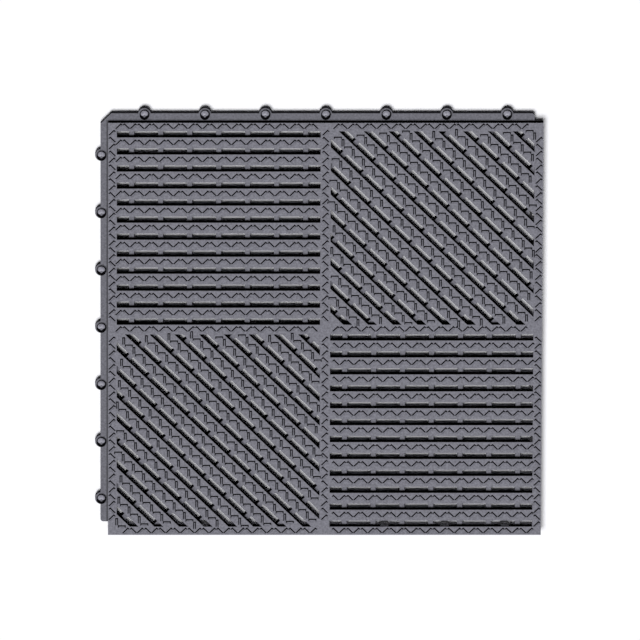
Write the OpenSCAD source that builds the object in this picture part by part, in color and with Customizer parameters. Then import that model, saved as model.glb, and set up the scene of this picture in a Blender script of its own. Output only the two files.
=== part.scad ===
// Interlocking drainage tile: one moulding, slatted on top and ribbed below.
// North and west sides carry a ledge with pegs, south and east sides carry the sockets.
// Millimetres. The tile lies flat, deck up, and the middle of its footprint is the origin.

/* [Deck] */
// Side of the square deck, the grid that the tiles are laid on
deck_w = 300; // [240:1:360]
// Height of the deck above the floor
tile_h = 13; // [12:0.5:16]
// Depth of the slatted layer
deck_t = 5.5; // [5.2:0.1:6.5]
// Width of the border round the deck
border_w = 6; // [5:0.25:8]
// Width of the two bars that cross in the middle
bar_w = 7; // [5:0.5:10]

/* [Slots] */
// Width of a slot in the two straight quarters
slot_w = 4.5; // [3:0.25:6]
// Nearest distance from slot to slot in the straight quarters
slot_pitch = 12.4; // [10:0.1:16]
// Width of a slot in the two diagonal quarters
diag_slot_w = 4.3; // [3:0.1:6]
// Distance from slot to slot across the diagonal quarters
diag_pitch = 12.1; // [10:0.1:16]

/* [Ribs] */
// Thickness of a rib under the deck
rib_w = 3.4; // [2.4:0.2:5]
// Distance from rib to rib
rib_pitch = 20; // [16:1:26]
// Thickness of the walls under the north and west borders and under the middle bars
wall_t = 3.4; // [2.4:0.2:4.4]
// Radius of the drain arches through those walls
arch_r = 3; // [2:0.25:4]

/* [Ledge] */
// How far the ledge reaches out from the deck
ledge_w = 5.2; // [4:0.2:7]
// Thickness of the ledge
ledge_t = 3.7; // [2.6:0.1:4.5]
// Size of the corner cut where the two ledges meet
ledge_cut = 7.4; // [3:0.2:10]
// Distance from the deck's east edge to the end of the north ledge
north_end = 6; // [3:0.5:12]
// Distance from the deck's south edge to the end of the west ledge
west_end = 8; // [3:0.5:12]
// Radius of the ledges' free corners
end_r = 2; // [1:0.25:2.5]

/* [Pegs] */
// Pegs along one ledge
peg_count = 7; // [4:1:9]
// Distance from a corner of the deck to the first and last peg
peg_inset = 25; // [20:1:32]
// Distance from the deck's edge to a peg's axis
peg_out = 4.6; // [4.2:0.1:5.4]
// Radius of a peg's neck
neck_r = 2.7; // [2.5:0.05:2.8]
// Radius of a peg's head
head_r = 3.3; // [3.15:0.05:3.4]
// Height of a peg's head
head_h = 3.2; // [2.9:0.1:3.4]
// Height of the straight band round the head, between its bevel and its dome
head_band = 0.8; // [0.5:0.1:1]
// Radius of the round seat that a peg stands on
seat_r = 4.35; // [4.05:0.1:4.85]

/* [Sockets] */
// Radius of a socket's hole, smaller than the head, so that a peg snaps in
socket_r = 3.05; // [2.9:0.05:3.1]
// Wall round a socket's hole
socket_wall = 1.3; // [1:0.1:1.8]
// Thickness of the lip that a peg's head snaps over
lip_t = 1.2; // [1:0.1:1.4]

/* [Fits] */
// Gap between a ledge and the border that lies on it
ledge_gap = 0.2; // [0.1:0.05:0.4]
// Gap round a snapped head and over it
head_gap = 0.25; // [0.15:0.05:0.3]
// Gap beside a ledge and its round seats
side_gap = 0.4; // [0.2:0.1:0.6]

/* [Hidden] */
$fn = 64;
half = deck_w / 2;
under_h = tile_h - deck_t;
cell_w = half - border_w - bar_w / 2;
cell_mid = bar_w / 2 + cell_w / 2;
ledge_z = under_h - ledge_gap - ledge_t;
ledge_top = ledge_z + ledge_t;
ledge_room = ledge_w + side_gap;
reach = peg_out + seat_r;
peg_step = (deck_w - 2 * peg_inset) / (peg_count - 1);
neck_top = under_h + lip_t;
head_bevel = head_r - neck_r;
head_dome = head_h - head_bevel - head_band;
dome_end = 75;
past = 1;

// Gaps between the slots of a straight quarter, and the step that fills the quarter evenly
slot_steps = round((cell_w - slot_w) / slot_pitch);
slot_step = (cell_w - slot_w) / slot_steps;
// Slots on each side of a diagonal quarter's middle line
diag_half = floor((cell_w / sqrt(2) - diag_slot_w / 2) / diag_pitch + 0.5);
// Ribs on each side of a quarter's middle
rib_half = floor((cell_w - rib_w) / 2 / rib_pitch);
diag_rib_half = floor((cell_w * sqrt(2) - rib_w) / 2 / rib_pitch);

// A bar drawn from its middle: long along x, wide along y
module bar(long, wide) {
    square([long, wide], center = true);
}

// Puts its children on the middle of a quarter: sx and sy are 1 or -1
module at_quarter(sx, sy) {
    translate([sx * cell_mid, sy * cell_mid]) children();
}

module straight_slots() {
    for (i = [0 : slot_steps])
        translate([0, (i - slot_steps / 2) * slot_step])
            bar(cell_w, slot_w);
}

// The slots fall from upper left to lower right, and the quarter's square cuts them off
module diagonal_slots() {
    intersection() {
        square(cell_w, center = true);
        rotate(-45)
            for (i = [0.5 - diag_half : diag_half - 0.5])
                translate([0, i * diag_pitch])
                    bar(2 * cell_w, diag_slot_w);
    }
}

module straight_ribs() {
    for (i = [-rib_half : rib_half])
        translate([i * rib_pitch, 0])
            bar(rib_w, 2 * cell_w);
}

module diagonal_ribs() {
    rotate(-45)
        for (i = [-diag_rib_half : diag_rib_half])
            translate([i * rib_pitch, 0])
                bar(rib_w, 3 * cell_w);
}

// Keeps what lies on one quarter of the deck: sx and sy are 1 or -1
module in_quarter(sx, sy) {
    intersection() {
        translate([min(0, sx * half), min(0, sy * half)]) square(half);
        at_quarter(sx, sy) children();
    }
}

// Slatted top layer: a square plate with four quarters of slots
module deck() {
    translate([0, 0, under_h])
        linear_extrude(deck_t)
            difference() {
                square(deck_w, center = true);
                at_quarter(-1, 1) straight_slots();
                at_quarter(1, -1) straight_slots();
                at_quarter(1, 1) diagonal_slots();
                at_quarter(-1, -1) diagonal_slots();
            }
}

// Ribs that cross under the slats and stand on the floor. They end inside the north and west
// walls, and leave room for the next tiles' ledges along the south and east sides.
module ribs() {
    linear_extrude(under_h)
        intersection() {
            translate([wall_t / 2 - half, ledge_room - half])
                square(deck_w - wall_t / 2 - ledge_room);
            union() {
                in_quarter(-1, 1) straight_ribs();
                in_quarter(1, -1) straight_ribs();
                in_quarter(1, 1) diagonal_ribs();
                in_quarter(-1, -1) diagonal_ribs();
            }
        }
}

// Lets water run through a wall that lies along x
module arches(long) {
    n = floor((long - 4 * arch_r) / 2 / rib_pitch);
    for (i = [-n : n])
        translate([(i + 0.5) * rib_pitch, 0, 0])
            rotate([90, 0, 0])
                cylinder(r = arch_r, h = 2 * wall_t, center = true);
}

// A wall from the floor to the deck, along x from the west edge to the room for the east ledge
module wall() {
    difference() {
        translate([-half, -wall_t / 2, 0])
            cube([deck_w - ledge_room, wall_t, under_h]);
        arches(deck_w - 2 * ledge_room);
    }
}

// North and west walls stand flush with the deck's sides, the others cross in the middle
module walls() {
    translate([0, half - wall_t / 2, 0]) wall();
    wall();
    rotate(90)
        mirror([1, 0, 0]) {
            translate([0, half - wall_t / 2, 0]) wall();
            wall();
        }
}

// Places its children at every peg of the north ledge, y measured out from the deck's edge
module along_north() {
    for (i = [0 : peg_count - 1])
        translate([peg_inset - half + i * peg_step, half, 0])
            children();
}

// Does the same for the north side and, mirrored across the corner, for the west side
module along_both() {
    children();
    rotate(90) mirror([1, 0, 0]) children();
}

module ledge_outline() {
    polygon([
        [-half - ledge_w, west_end - half],
        [-half - ledge_w, half + ledge_w - ledge_cut],
        [-half - ledge_w + ledge_cut, half + ledge_w],
        [half - north_end, half + ledge_w],
        [half - north_end, half - wall_t],
        [wall_t - half, half - wall_t],
        [wall_t - half, west_end - half]
    ]);
}

// A square corner's waste outside an arc, with the corner at the origin and the metal at -x, -y
module corner_waste(r) {
    difference() {
        translate([-r, -r]) square(r + past);
        translate([-r, -r]) circle(r);
        translate([-2 * r - past, -2 * r - past]) square([r + past, 2 * r + 2 * past + past]);
        translate([-2 * r - past, -2 * r - past]) square([2 * r + 2 * past + past, r + past]);
    }
}

module ledge() {
    translate([0, 0, ledge_z])
        linear_extrude(ledge_t) {
            difference() {
                ledge_outline();
                translate([half - north_end, half + ledge_w]) corner_waste(end_r);
                translate([-half - ledge_w, west_end - half]) rotate(180) corner_waste(end_r);
            }
            along_both()
                along_north()
                    translate([0, peg_out]) circle(seat_r);
        }
}

// Half a head's dome from the band up to the small flat at its top, or grown by a gap all round
function dome(gap) = [
    for (a = [0 : 15 : dome_end])
        [(head_r + gap) * cos(a), head_bevel + head_band + (head_dome + gap) * sin(a) / sin(dome_end)]
];

// Neck and mushroom head, turned about the peg's axis
module peg() {
    translate([0, peg_out, ledge_top])
        cylinder(r = neck_r, h = neck_top - ledge_top + head_bevel);
    translate([0, peg_out, neck_top])
        rotate_extrude()
            polygon(concat([[0, 0], [neck_r, 0], [head_r, head_bevel]], dome(0), [[0, head_h]]));
}

// A socket measured in from the south edge, as its peg is measured out from the north edge
module socket_ring() {
    translate([0, peg_out, under_h])
        cylinder(r = socket_r + socket_wall, h = lip_t);
}

module socket_hollow() {
    translate([0, peg_out, -past])
        cylinder(r = seat_r + side_gap, h = under_h + past);
    translate([0, peg_out, under_h - past])
        cylinder(r = socket_r, h = lip_t + 2 * past);
    translate([0, peg_out, neck_top])
        rotate_extrude()
            polygon(concat([[0, 0], [head_r + head_gap, 0]], dome(head_gap), [[0, head_h + head_gap]]));
}

// Moves one side's pegs to the facing side, where they are sockets
module south_and_east() {
    translate([0, -deck_w, 0]) along_north() children();
    translate([deck_w, 0, 0]) rotate(90) mirror([1, 0, 0]) along_north() children();
}

module drainage_tile() {
    color("#86858b")
        translate([reach / 2, -reach / 2, 0]) {
            difference() {
                union() {
                    deck();
                    ribs();
                    walls();
                    south_and_east() socket_ring();
                }
                south_and_east() socket_hollow();
            }
            ledge();
            along_both() along_north() peg();
        }
}

drainage_tile();
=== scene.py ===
"""Looks of the interlocking drainage tile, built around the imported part.

The moulding itself is the CAD node, with its edges rounded. This script adds the tread, which is
small raised bars on every slat and border, the PVC's material, and a floor, lamp and camera.
Metres throughout, +Z up. Plan places are given from the middle of the square deck.
"""
import math

import bpy
import numpy as np
from mathutils import Matrix, Vector


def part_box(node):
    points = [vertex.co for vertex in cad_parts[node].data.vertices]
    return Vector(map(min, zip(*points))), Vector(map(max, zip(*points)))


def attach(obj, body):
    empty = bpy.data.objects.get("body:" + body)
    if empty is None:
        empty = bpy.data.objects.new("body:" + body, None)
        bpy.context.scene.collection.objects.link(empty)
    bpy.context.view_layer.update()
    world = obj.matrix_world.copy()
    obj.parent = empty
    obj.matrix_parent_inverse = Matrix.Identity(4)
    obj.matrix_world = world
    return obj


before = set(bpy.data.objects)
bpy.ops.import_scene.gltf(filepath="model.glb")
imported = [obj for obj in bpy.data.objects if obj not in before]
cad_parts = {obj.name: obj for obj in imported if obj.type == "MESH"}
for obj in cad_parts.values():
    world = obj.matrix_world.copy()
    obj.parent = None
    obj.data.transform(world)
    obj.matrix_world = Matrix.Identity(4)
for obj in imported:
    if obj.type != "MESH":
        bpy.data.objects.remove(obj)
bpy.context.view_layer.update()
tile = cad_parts["drainage_tile"]
low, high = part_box("drainage_tile")

MM = 0.001

# The deck and its slots, as in the part's source
DECK = 300 * MM
BORDER = 6 * MM
MIDDLE_BAR = 7 * MM
CELL = DECK / 2 - BORDER - MIDDLE_BAR / 2
CELL_MID = MIDDLE_BAR / 2 + CELL / 2
SLOT = 4.5 * MM
SLOT_STEPS = 11
DIAG_PITCH = 12.1 * MM

# The deck's place in the frame: its middle, its top and its edges
DECK_X = high.x - DECK / 2
DECK_Y = low.y + DECK / 2
DECK_Z = high.z
WEST, EAST = DECK_X - DECK / 2, DECK_X + DECK / 2
SOUTH, NORTH = DECK_Y - DECK / 2, DECK_Y + DECK / 2

# The tread's bars
BAR_STEP = 5 * MM
BAR_LONG = 5.7 * MM
BAR_WIDE = 2.15 * MM
BAR_TALL = 0.38 * MM
BAR_DRAFT = 0.8 * MM
BAR_ROUND = 0.04 * MM
BAR_SUNK = 0.02 * MM
ROW_IN = 2.8 * MM
ROW_BARS = 28

# Slats of a diagonal quarter that carry bars, counted from its diagonal towards the deck's outer corner,
# and the bars on each half of the slat on the diagonal itself
FIRST_SLAT, LAST_SLAT = -7, 8
LONGEST_HALF = 19
LEAN = math.radians(45)
UPRIGHT = math.radians(90)

# Rounding of the moulding's edges, and the gap under which corners of its mesh are joined
EDGE_ROUND = 0.3 * MM
WELD_GAP = 0.001 * MM

# The moulded PVC: its colour, and how much the clouds, the mottling and the plain rest make of its tone
PVC_COLOUR = (0.156, 0.155, 0.178)
PVC_CLOUDS, PVC_MOTTLE, PVC_PLAIN = 0.16, 1.3, 0.27
PVC_TONE = 1.1
PVC_ROUGH = 0.5
ROUGH_MOTTLE = 0.25
PVC_COAT = 0.3
GRAIN_DEPTH = 0.06 * MM

# The glossier heads of the pegs, with a painted highlight on their pale caps, beyond this gap beside the deck
# and above this height over the floor
HEAD_GAP = 0.5 * MM
HEAD_FOOT = 9 * MM
HEAD_PAINTED_HIGHLIGHT = 1.8
HEAD_ROUGH = 0.38
HEAD_COAT = 1

# Painted light by slope, for the deck and for the heads: faces whose normals lean towards these directions
# keep full tone, as if lit from there. A face counts as steep and gets painted shade where its normal's dot
# product with the direction is under the first value, and counts as level, in full tone, above the second
DECK_PAINTED_LIGHT_FROM = (0, -0.342, 0.94)
HEAD_PAINTED_LIGHT_FROM = (0, 0.84, 0.885)
STEEP_BELOW, LEVEL_ABOVE = 0.85, 0.93

# Painted shade: the tone of steep faces, and of the part's outer sides
STEEP_PAINTED_SHADE = 0.01
OUTER_SIDE_PAINTED_SHADE = 0.12

# Painted shade by height: the ledges' tone, and then from height, to height (mm) and the tone above them,
# for the ribs' tops and the sockets' rings, both painted darker, and the deck
LEDGE_PAINTED_SHADE = 0.76
PAINTED_SHADES_ABOVE = ((7.35, 7.45, 0.85), (7.9, 8.0, 0.05), (9.2, 9.4, 1))

# Tone and width of a painted shadow in the crease between the west ledge and the deck's wall
CREASE_PAINTED_SHADOW = 0.4
CREASE_SHADOW_WIDE = 1.1 * MM

# What lies this near to the deck's edge counts as its outer side
SKIN = 0.4 * MM

# The deck's rounded rims get a painted highlight between two ramps of height, in mm over the floor
RIM_PAINTED_HIGHLIGHT = 3.5
RIM_STARTS, RIM_ENDS = (12.75, 12.8), (12.97, 12.98)

FLOOR_COLOUR = (0.97, 0.97, 0.97)
FLOOR_RADIUS = 6
FLOOR_CORNERS = 64
LAMP_COLOUR = (0.97, 0.97, 1)

# The photograph: its side, the deck's width and the place of the deck's middle from the picture's, in pixels
PHOTO_SIDE = 640
PHOTO_DECK = 434.1
PHOTO_RIGHT = 5.1
PHOTO_DOWN = 9.6
CAMERA_AWAY = 15.2


# Plan of the tread: each row is an array of (x, y, angle)

def row(places, line, angles, upright=False):
    """Bars at the given places along a line of constant y, or of constant x if the row is upright."""
    places, angles = np.broadcast_arrays(places, angles)
    line = np.full(len(places), line)
    return np.c_[(line, places, angles) if upright else (places, line, angles)]


def half_row(count, side, first):
    """Places of a half row's bars, 1.5 steps from the deck's middle and then a step apart, in rising
    order, and their angles, which lean to and fro. side is -1 or 1, and first is the lowest one's lean."""
    places = side * BAR_STEP * (1.5 + np.arange(count))
    return np.sort(places), LEAN * first * (-1.0) ** np.arange(count)


def straight_quarter(side, first):
    """Rows on the slats between the slots of a quarter at the upper left (side -1) or lower right."""
    step = (CELL - SLOT) / SLOT_STEPS
    places, angles = half_row(ROW_BARS, side, first)
    lines = -side * CELL_MID + (np.arange(SLOT_STEPS) + 0.5 - SLOT_STEPS / 2) * step
    return np.concatenate([row(places, line, angles) for line in lines])


def diagonal_quarter(side):
    """Rows on the slats that fall to the right, upright and level bars by turns. The quarter is at the
    upper right (side 1), or that one turned half round (side -1). A slat k pitches from the quarter's
    diagonal is shorter by twice that distance. A bar s along a slat lies at (s + d, d - s) / root 2 from
    the quarter's middle, where d is the slat's distance from the diagonal."""
    rows = []
    for k in range(FIRST_SLAT, LAST_SLAT + 1):
        n = min(LONGEST_HALF, int((CELL / math.sqrt(2) - abs(k) * DIAG_PITCH) / BAR_STEP + 0.5))
        s = (np.arange(2 * n) + 0.5 - n) * BAR_STEP
        x = CELL_MID + (s + k * DIAG_PITCH) / math.sqrt(2)
        y = CELL_MID + (k * DIAG_PITCH - s) / math.sqrt(2)
        level = np.round(s / BAR_STEP - 1.5).astype(int) % 2 == 0
        rows.append(np.c_[side * x, side * y, np.where(level, 0, UPRIGHT)])
    return np.concatenate(rows)


def edge_rows():
    """Rows on the borders and on the two middle bars. Two half rows of opposite lean make a row, and the
    shorter one leaves its last place bare."""
    out = DECK / 2 - ROW_IN
    full, short = ROW_BARS, ROW_BARS - 1
    plan = [
        (full, -1, 1, out, False), (short, 1, 1, out, False),
        (short, -1, 1, -out, False), (full, 1, -1, -out, False),
        (full, -1, 1, 0, False), (short, 1, 1, 0, False),
        (short, -1, 1, -out, True), (full, 1, -1, -out, True),
        (full, -1, 1, out, True), (short, 1, 1, out, True),
        (short, -1, 1, 0, True), (full, 1, -1, 0, True),
    ]
    rows = []
    for count, side, first, line, upright in plan:
        places, angles = half_row(count, side, first)
        rows.append(row(places, line, angles, upright))
    return np.concatenate(rows)


# Mesh of the tread

def bar_rings(long, wide, tall, draft, rounding):
    """One bar as rings of four corners: sunk foot, top of the sloped side, rounded edge in one step, and
    top face. The side leans in by the draft. Returns a (4, 4, 3) array about the bar's middle."""
    signs = np.array([(-1, -1), (1, -1), (1, 1), (-1, 1)])
    rings = []
    edge = (draft, tall - rounding), (draft + 0.3 * rounding, tall - 0.3 * rounding), (draft + rounding, tall)
    for inset, z in ((0, -BAR_SUNK), *edge):
        corners = signs * (long / 2 - inset, wide / 2 - inset)
        rings.append(np.c_[corners, np.full(4, z)])
    return np.array(rings)


def turned_copies(points, plan, z):
    """The points (n, 3) turned by each plan row's angle and moved to its place, as (rows, n, 3)."""
    c, s = np.cos(plan[:, 2])[:, None], np.sin(plan[:, 2])[:, None]
    x = plan[:, :1] + c * points[:, 0] - s * points[:, 1]
    y = plan[:, 1:2] + s * points[:, 0] + c * points[:, 1]
    return np.stack([x + DECK_X, y + DECK_Y, np.broadcast_to(points[:, 2] + z, x.shape)], axis=2)


def ring_faces(rings, corners):
    """Quads between neighbouring rings of corners, and one more quad on the last ring, as an (n, 4) array."""
    at = np.arange(corners)
    sides = [np.c_[at, (at + 1) % corners, (at + 1) % corners + corners, at + corners] + r * corners
             for r in range(rings - 1)]
    return np.concatenate(sides + [(rings - 1) * corners + np.arange(4)[None]])


def mesh_object(name, points, faces):
    """A mesh object at the origin, made from whole arrays."""
    mesh = bpy.data.meshes.new(name)
    mesh.from_pydata(points.reshape(-1, 3).tolist(), [], faces.tolist())
    mesh.validate()
    obj = bpy.data.objects.new(name, mesh)
    bpy.context.scene.collection.objects.link(obj)
    return obj


def make_tread():
    """All bars of the tread in one mesh, from their plan and one bar's rings."""
    plan = np.concatenate([
        straight_quarter(-1, 1), straight_quarter(1, -1),
        diagonal_quarter(1), diagonal_quarter(-1), edge_rows(),
    ])
    rings = bar_rings(BAR_LONG, BAR_WIDE, BAR_TALL, BAR_DRAFT, BAR_ROUND)
    points = turned_copies(rings.reshape(-1, 3), plan, DECK_Z)
    one = ring_faces(*rings.shape[:2])
    starts = points.shape[1] * np.arange(len(plan))
    return mesh_object("tread", points, (one[None] + starts[:, None, None]).reshape(-1, 4))


def round_edges(obj, width):
    """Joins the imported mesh's split corners, clears its flat faces of seams and rounds its sharp edges."""
    weld = obj.modifiers.new("weld", "WELD")
    weld.merge_threshold = WELD_GAP
    flat = obj.modifiers.new("flat", "DECIMATE")
    flat.decimate_type = "DISSOLVE"
    flat.angle_limit = math.radians(0.5)
    bevel = obj.modifiers.new("rounding", "BEVEL")
    bevel.width = width
    bevel.segments = 2
    bevel.limit_method = "ANGLE"
    bevel.angle_limit = math.radians(40)
    bevel.use_clamp_overlap = True
    bevel.harden_normals = False


# Nodes

def node(tree, kind, **inputs):
    """A node of this kind with values on its sockets."""
    made = tree.nodes.new(kind)
    for name, value in inputs.items():
        made.inputs[name.replace("_", " ")].default_value = value
    return made


def maths(tree, operation, first, *others):
    """A Math node on two sockets or numbers, and one more for each further term. Returns the last output.
    An operation on one term alone takes a 0 as its second."""
    for other in others or (0,):
        made = tree.nodes.new("ShaderNodeMath")
        made.operation = operation
        for socket, value in zip(made.inputs, (first, other)):
            if isinstance(value, (int, float)):
                socket.default_value = value
            else:
                tree.links.new(value, socket)
        first = made.outputs[0]
    return first


def axes(tree, place):
    """The x, y and z of a place."""
    parts = tree.nodes.new("ShaderNodeSeparateXYZ")
    tree.links.new(place, parts.inputs[0])
    return parts.outputs


def between(tree, value, start, end):
    """1 where the value lies between start and end, and 0 elsewhere."""
    above = maths(tree, "GREATER_THAN", value, start)
    return maths(tree, "MULTIPLY", above, maths(tree, "LESS_THAN", value, end))


def blend(tree, mask, without, within):
    """Runs from one value to another with the mask."""
    return maths(tree, "ADD", maths(tree, "MULTIPLY", mask, within - without), without)


def height_ramp(tree, height, start, end, below, above):
    """A value that runs from below to above between two heights, given in mm over the floor."""
    ramp = node(tree, "ShaderNodeMapRange", From_Min=low.z + start * MM, From_Max=low.z + end * MM,
                To_Min=below, To_Max=above)
    tree.links.new(height, ramp.inputs["Value"])
    return ramp.outputs["Result"]


# The moulded grain, with painted shade and painted highlights

def painted_shade_by_height(tree, x, y, z, under):
    """Painted shade by height on the ledges, ribs' tops, sockets' rings and deck, each step added to the one
    below. What is under the ribs' tops gets a painted shadow from a narrow crease beside the deck's west wall
    onwards."""
    shade = below = LEDGE_PAINTED_SHADE
    for start, end, above in PAINTED_SHADES_ABOVE:
        shade = maths(tree, "ADD", height_ramp(tree, z, start, end, 0, above - below), shade)
        below = above
    # Painted shadow on the west ledge's last strip before the deck's wall, and on all under the ribs' tops
    # farther in
    inside = maths(tree, "GREATER_THAN", x, WEST - CREASE_SHADOW_WIDE)
    crease = maths(tree, "MULTIPLY", inside, maths(tree, "LESS_THAN", y, NORTH), under, 1 - CREASE_PAINTED_SHADOW)
    return maths(tree, "MULTIPLY", shade, maths(tree, "SUBTRACT", 1, crease))


def outer_sides(tree, x, y, under):
    """1 on the deck's south, east and west walls and on all that is under the ribs' tops."""
    west = between(tree, x, WEST - 1.5 * SKIN, WEST + SKIN)
    east = maths(tree, "GREATER_THAN", x, EAST - SKIN)
    south = maths(tree, "LESS_THAN", y, SOUTH + SKIN)
    return maths(tree, "MAXIMUM", south, east, west, under)


def gloss_and_painted_slope_light(tree, slope, outer, z):
    """1 on level faces, the painted shade of sides on steep ones, and more than 1, a painted highlight, on
    the deck's rounded rims, which lie just under its top."""
    level = node(tree, "ShaderNodeMapRange", From_Min=STEEP_BELOW, From_Max=LEVEL_ABOVE, To_Max=1)
    tree.links.new(maths(tree, "ABSOLUTE", slope), level.inputs["Value"])
    # Painted shade: steep faces are near black, the outer sides a little lighter
    side = maths(tree, "MAXIMUM", maths(tree, "MULTIPLY", outer, OUTER_SIDE_PAINTED_SHADE), STEEP_PAINTED_SHADE)
    tree.links.new(side, level.inputs["To Min"])
    # Painted highlight on the deck's rounded rims
    painted_rim_highlight = maths(tree, "MULTIPLY", height_ramp(tree, z, *RIM_STARTS, 0, 1),
                height_ramp(tree, z, *RIM_ENDS, 1, 0), RIM_PAINTED_HIGHLIGHT)
    return maths(tree, "MAXIMUM", level.outputs["Result"], painted_rim_highlight)


def grain_and_painted_light_group():
    """Soft PVC as moulded: faint clouds, fine mottling, and a matt grain in the relief, with painted light on
    top. Level faces keep full tone and steep ones get painted shade, where the slope is the dot product of a
    face's normal and the direction Facing, as if lit from there. Painted shade by height and a painted
    highlight on the deck's rims come in too. Level comes out for the gloss, too."""
    tree = bpy.data.node_groups.new("moulded_grain_and_painted_light", "ShaderNodeTree")
    for name, kind in (("Colour", "Color"), ("Tone", "Float"), ("Roughness", "Float"), ("Facing", "Vector")):
        tree.interface.new_socket(name=name, in_out="INPUT", socket_type="NodeSocket" + kind)
    for name, kind in (("Colour", "Color"), ("Roughness", "Float"), ("Level", "Float"), ("Normal", "Vector")):
        tree.interface.new_socket(name=name, in_out="OUTPUT", socket_type="NodeSocket" + kind)
    link = tree.links.new
    given = tree.nodes.new("NodeGroupInput").outputs
    out = tree.nodes.new("NodeGroupOutput").inputs
    where = tree.nodes.new("ShaderNodeTexCoord")
    place = where.outputs["Object"]

    slope = tree.nodes.new("ShaderNodeVectorMath")
    slope.operation = "DOT_PRODUCT"
    link(where.outputs["Normal"], slope.inputs[0])
    link(given["Facing"], slope.inputs[1])
    x, y, z = axes(tree, place)
    under = height_ramp(tree, z, *PAINTED_SHADES_ABOVE[0][:2], 1, 0)
    shade = painted_shade_by_height(tree, x, y, z, under)
    level = gloss_and_painted_slope_light(tree, slope.outputs["Value"], outer_sides(tree, x, y, under), z)

    clouds = node(tree, "ShaderNodeTexNoise", Scale=28, Detail=3, Roughness=0.5)
    mottle = node(tree, "ShaderNodeTexNoise", Scale=700, Detail=2, Roughness=0.6)
    grain = node(tree, "ShaderNodeTexNoise", Scale=2600, Detail=2, Roughness=0.6)
    for noise in (clouds, mottle, grain):
        link(place, noise.inputs["Vector"])
    value = maths(tree, "ADD", maths(tree, "MULTIPLY", clouds.outputs["Fac"], PVC_CLOUDS),
                  maths(tree, "MULTIPLY", mottle.outputs["Fac"], PVC_MOTTLE), PVC_PLAIN)
    tint = tree.nodes.new("ShaderNodeHueSaturation")
    # Painted shade and highlights: the PVC's tone times the painted shade by height and the painted light by
    # slope
    link(maths(tree, "MULTIPLY", value, shade, given["Tone"], level), tint.inputs["Value"])
    link(given["Colour"], tint.inputs["Color"])
    link(tint.outputs["Color"], out["Colour"])
    rough = maths(tree, "MULTIPLY", maths(tree, "SUBTRACT", mottle.outputs["Fac"], 0.5), ROUGH_MOTTLE)
    link(maths(tree, "ADD", given["Roughness"], rough), out["Roughness"])
    link(level, out["Level"])
    bump = node(tree, "ShaderNodeBump", Strength=0.35, Distance=GRAIN_DEPTH)
    link(grain.outputs["Fac"], bump.inputs["Height"])
    link(bump.outputs["Normal"], out["Normal"])
    return tree


# Materials

def peg_mask(tree):
    """1 over the ledges, where the peg heads stand, and 0 on the deck."""
    x, y, z = axes(tree, tree.nodes.new("ShaderNodeTexCoord").outputs["Object"])
    north = maths(tree, "GREATER_THAN", y, NORTH + HEAD_GAP)
    west = maths(tree, "LESS_THAN", x, WEST - HEAD_GAP)
    tall = maths(tree, "GREATER_THAN", z, low.z + HEAD_FOOT)
    return maths(tree, "MULTIPLY", maths(tree, "MAXIMUM", north, west), tall)


def pvc(name, grain, heads=False):
    """A PVC material: the shared grain on a Principled shader, whose gloss is a thin coat on level faces.
    With heads, the peg heads are glossier, and get a painted highlight: pale caps that lean to the north."""
    made = bpy.data.materials.new(name)
    made.use_nodes = True
    tree = made.node_tree
    link = tree.links.new
    shader = tree.nodes["Principled BSDF"].inputs
    shader["IOR"].default_value = 1.5
    shader["Specular IOR Level"].default_value = 0
    shader["Coat Roughness"].default_value = PVC_ROUGH
    group = tree.nodes.new("ShaderNodeGroup")
    group.node_tree = grain
    group.inputs["Colour"].default_value = (*PVC_COLOUR, 1)
    group.inputs["Tone"].default_value = PVC_TONE
    group.inputs["Roughness"].default_value = PVC_ROUGH
    group.inputs["Facing"].default_value = DECK_PAINTED_LIGHT_FROM
    coat = PVC_COAT
    if heads:
        mask = peg_mask(tree)
        # Painted highlight on the heads: a raised tone, and pale caps that lean to the north
        link(blend(tree, mask, PVC_TONE, HEAD_PAINTED_HIGHLIGHT), group.inputs["Tone"])
        link(blend(tree, mask, PVC_ROUGH, HEAD_ROUGH), group.inputs["Roughness"])
        coat = blend(tree, mask, PVC_COAT, HEAD_COAT)
        facing = tree.nodes.new("ShaderNodeCombineXYZ")
        for socket, deck, head in zip(facing.inputs, DECK_PAINTED_LIGHT_FROM, HEAD_PAINTED_LIGHT_FROM):
            link(blend(tree, mask, deck, head), socket)
        link(facing.outputs[0], group.inputs["Facing"])
    link(maths(tree, "MULTIPLY", group.outputs["Level"], coat), shader["Coat Weight"])
    link(group.outputs["Colour"], shader["Base Color"])
    link(group.outputs["Roughness"], shader["Roughness"])
    link(group.outputs["Normal"], shader["Normal"])
    return made


def floor_material():
    """Plain pale floor, diffuse only, that takes the tile's shadow."""
    made = bpy.data.materials.new("pale_floor")
    made.use_nodes = True
    shader = made.node_tree.nodes["Principled BSDF"].inputs
    shader["Base Color"].default_value = (*FLOOR_COLOUR, 1)
    shader["Roughness"].default_value = 1
    shader["Specular IOR Level"].default_value = 0
    return made


# Floor, lamp and camera

def make_floor():
    """A round floor at the tile's foot, as one face."""
    turn = np.linspace(0, 2 * math.pi, FLOOR_CORNERS, endpoint=False)
    points = np.c_[FLOOR_RADIUS * np.cos(turn), FLOOR_RADIUS * np.sin(turn), np.full(FLOOR_CORNERS, low.z)]
    floor = mesh_object("floor", points, np.arange(FLOOR_CORNERS)[None])
    floor.data.materials.append(floor_material())


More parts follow.
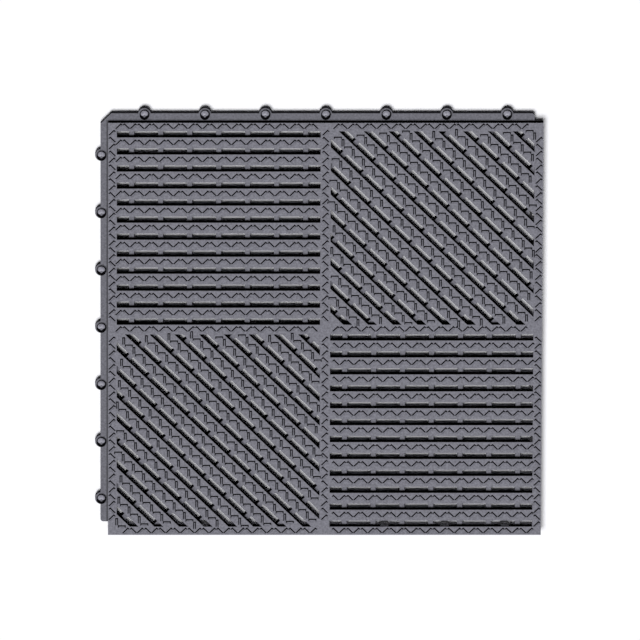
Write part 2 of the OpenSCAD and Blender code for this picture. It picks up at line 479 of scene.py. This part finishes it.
def make_light(south, east, half_angle, level, fill):
    """A soft lamp far overhead, some degrees to the south and east, and an even fill from the world."""
    lamp = bpy.data.lights.new("overhead", "SUN")
    lamp.energy = math.pi * level
    lamp.color = LAMP_COLOUR
    lamp.angle = math.radians(2 * half_angle)
    sun = bpy.data.objects.new("overhead", lamp)
    sun.rotation_euler = (math.radians(south), math.radians(east), 0)
    sun.location = (0, 0, 2)
    bpy.context.scene.collection.objects.link(sun)
    world = bpy.data.worlds.new("studio")
    world.use_nodes = True
    bpy.context.scene.world = world
    back = world.node_tree.nodes["Background"]
    back.inputs["Color"].default_value = (1, 1, 1, 1)
    back.inputs["Strength"].default_value = fill


def make_camera(tilt, turn):
    """A long lens from the north, tilted from straight above and turned a little to the west about the
    picture's upright axis, both in degrees. It aims beside the deck's middle, so that the middle lies as
    many pixels right of the picture's and below it as in the photograph."""
    tilt, turn = math.radians(tilt), math.radians(turn)
    width = DECK * PHOTO_SIDE / PHOTO_DECK
    right = Vector((math.cos(turn), math.sin(turn) * math.sin(tilt), math.sin(turn) * math.cos(tilt)))
    up = Vector((0, math.cos(tilt), -math.sin(tilt)))
    back = right.cross(up)
    aim = Vector((DECK_X, DECK_Y, DECK_Z)) + (up * PHOTO_DOWN - right * PHOTO_RIGHT) * width / PHOTO_SIDE
    data = bpy.data.cameras.new("camera")
    data.angle = 2 * math.atan(width / 2 / CAMERA_AWAY)
    data.clip_start, data.clip_end = 0.1, 100
    camera = bpy.data.objects.new("camera", data)
    turned = Matrix((right, up, back)).transposed().to_4x4()
    camera.matrix_world = Matrix.Translation(aim + back * CAMERA_AWAY) @ turned
    bpy.context.scene.collection.objects.link(camera)
    bpy.context.scene.camera = camera


grain = grain_and_painted_light_group()
tile.data.materials.clear()
tile.data.materials.append(pvc("soft_pvc", grain, heads=True))
round_edges(tile, EDGE_ROUND)

tread = make_tread()
tread.data.materials.append(pvc("tread_pvc", grain))
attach(tread, "root")

make_floor()
make_light(south=2, east=-6.5, half_angle=12, level=1.06, fill=0.02)
make_camera(tilt=18.4, turn=0.6)
bpy.context.scene.view_settings.view_transform = "Standard"
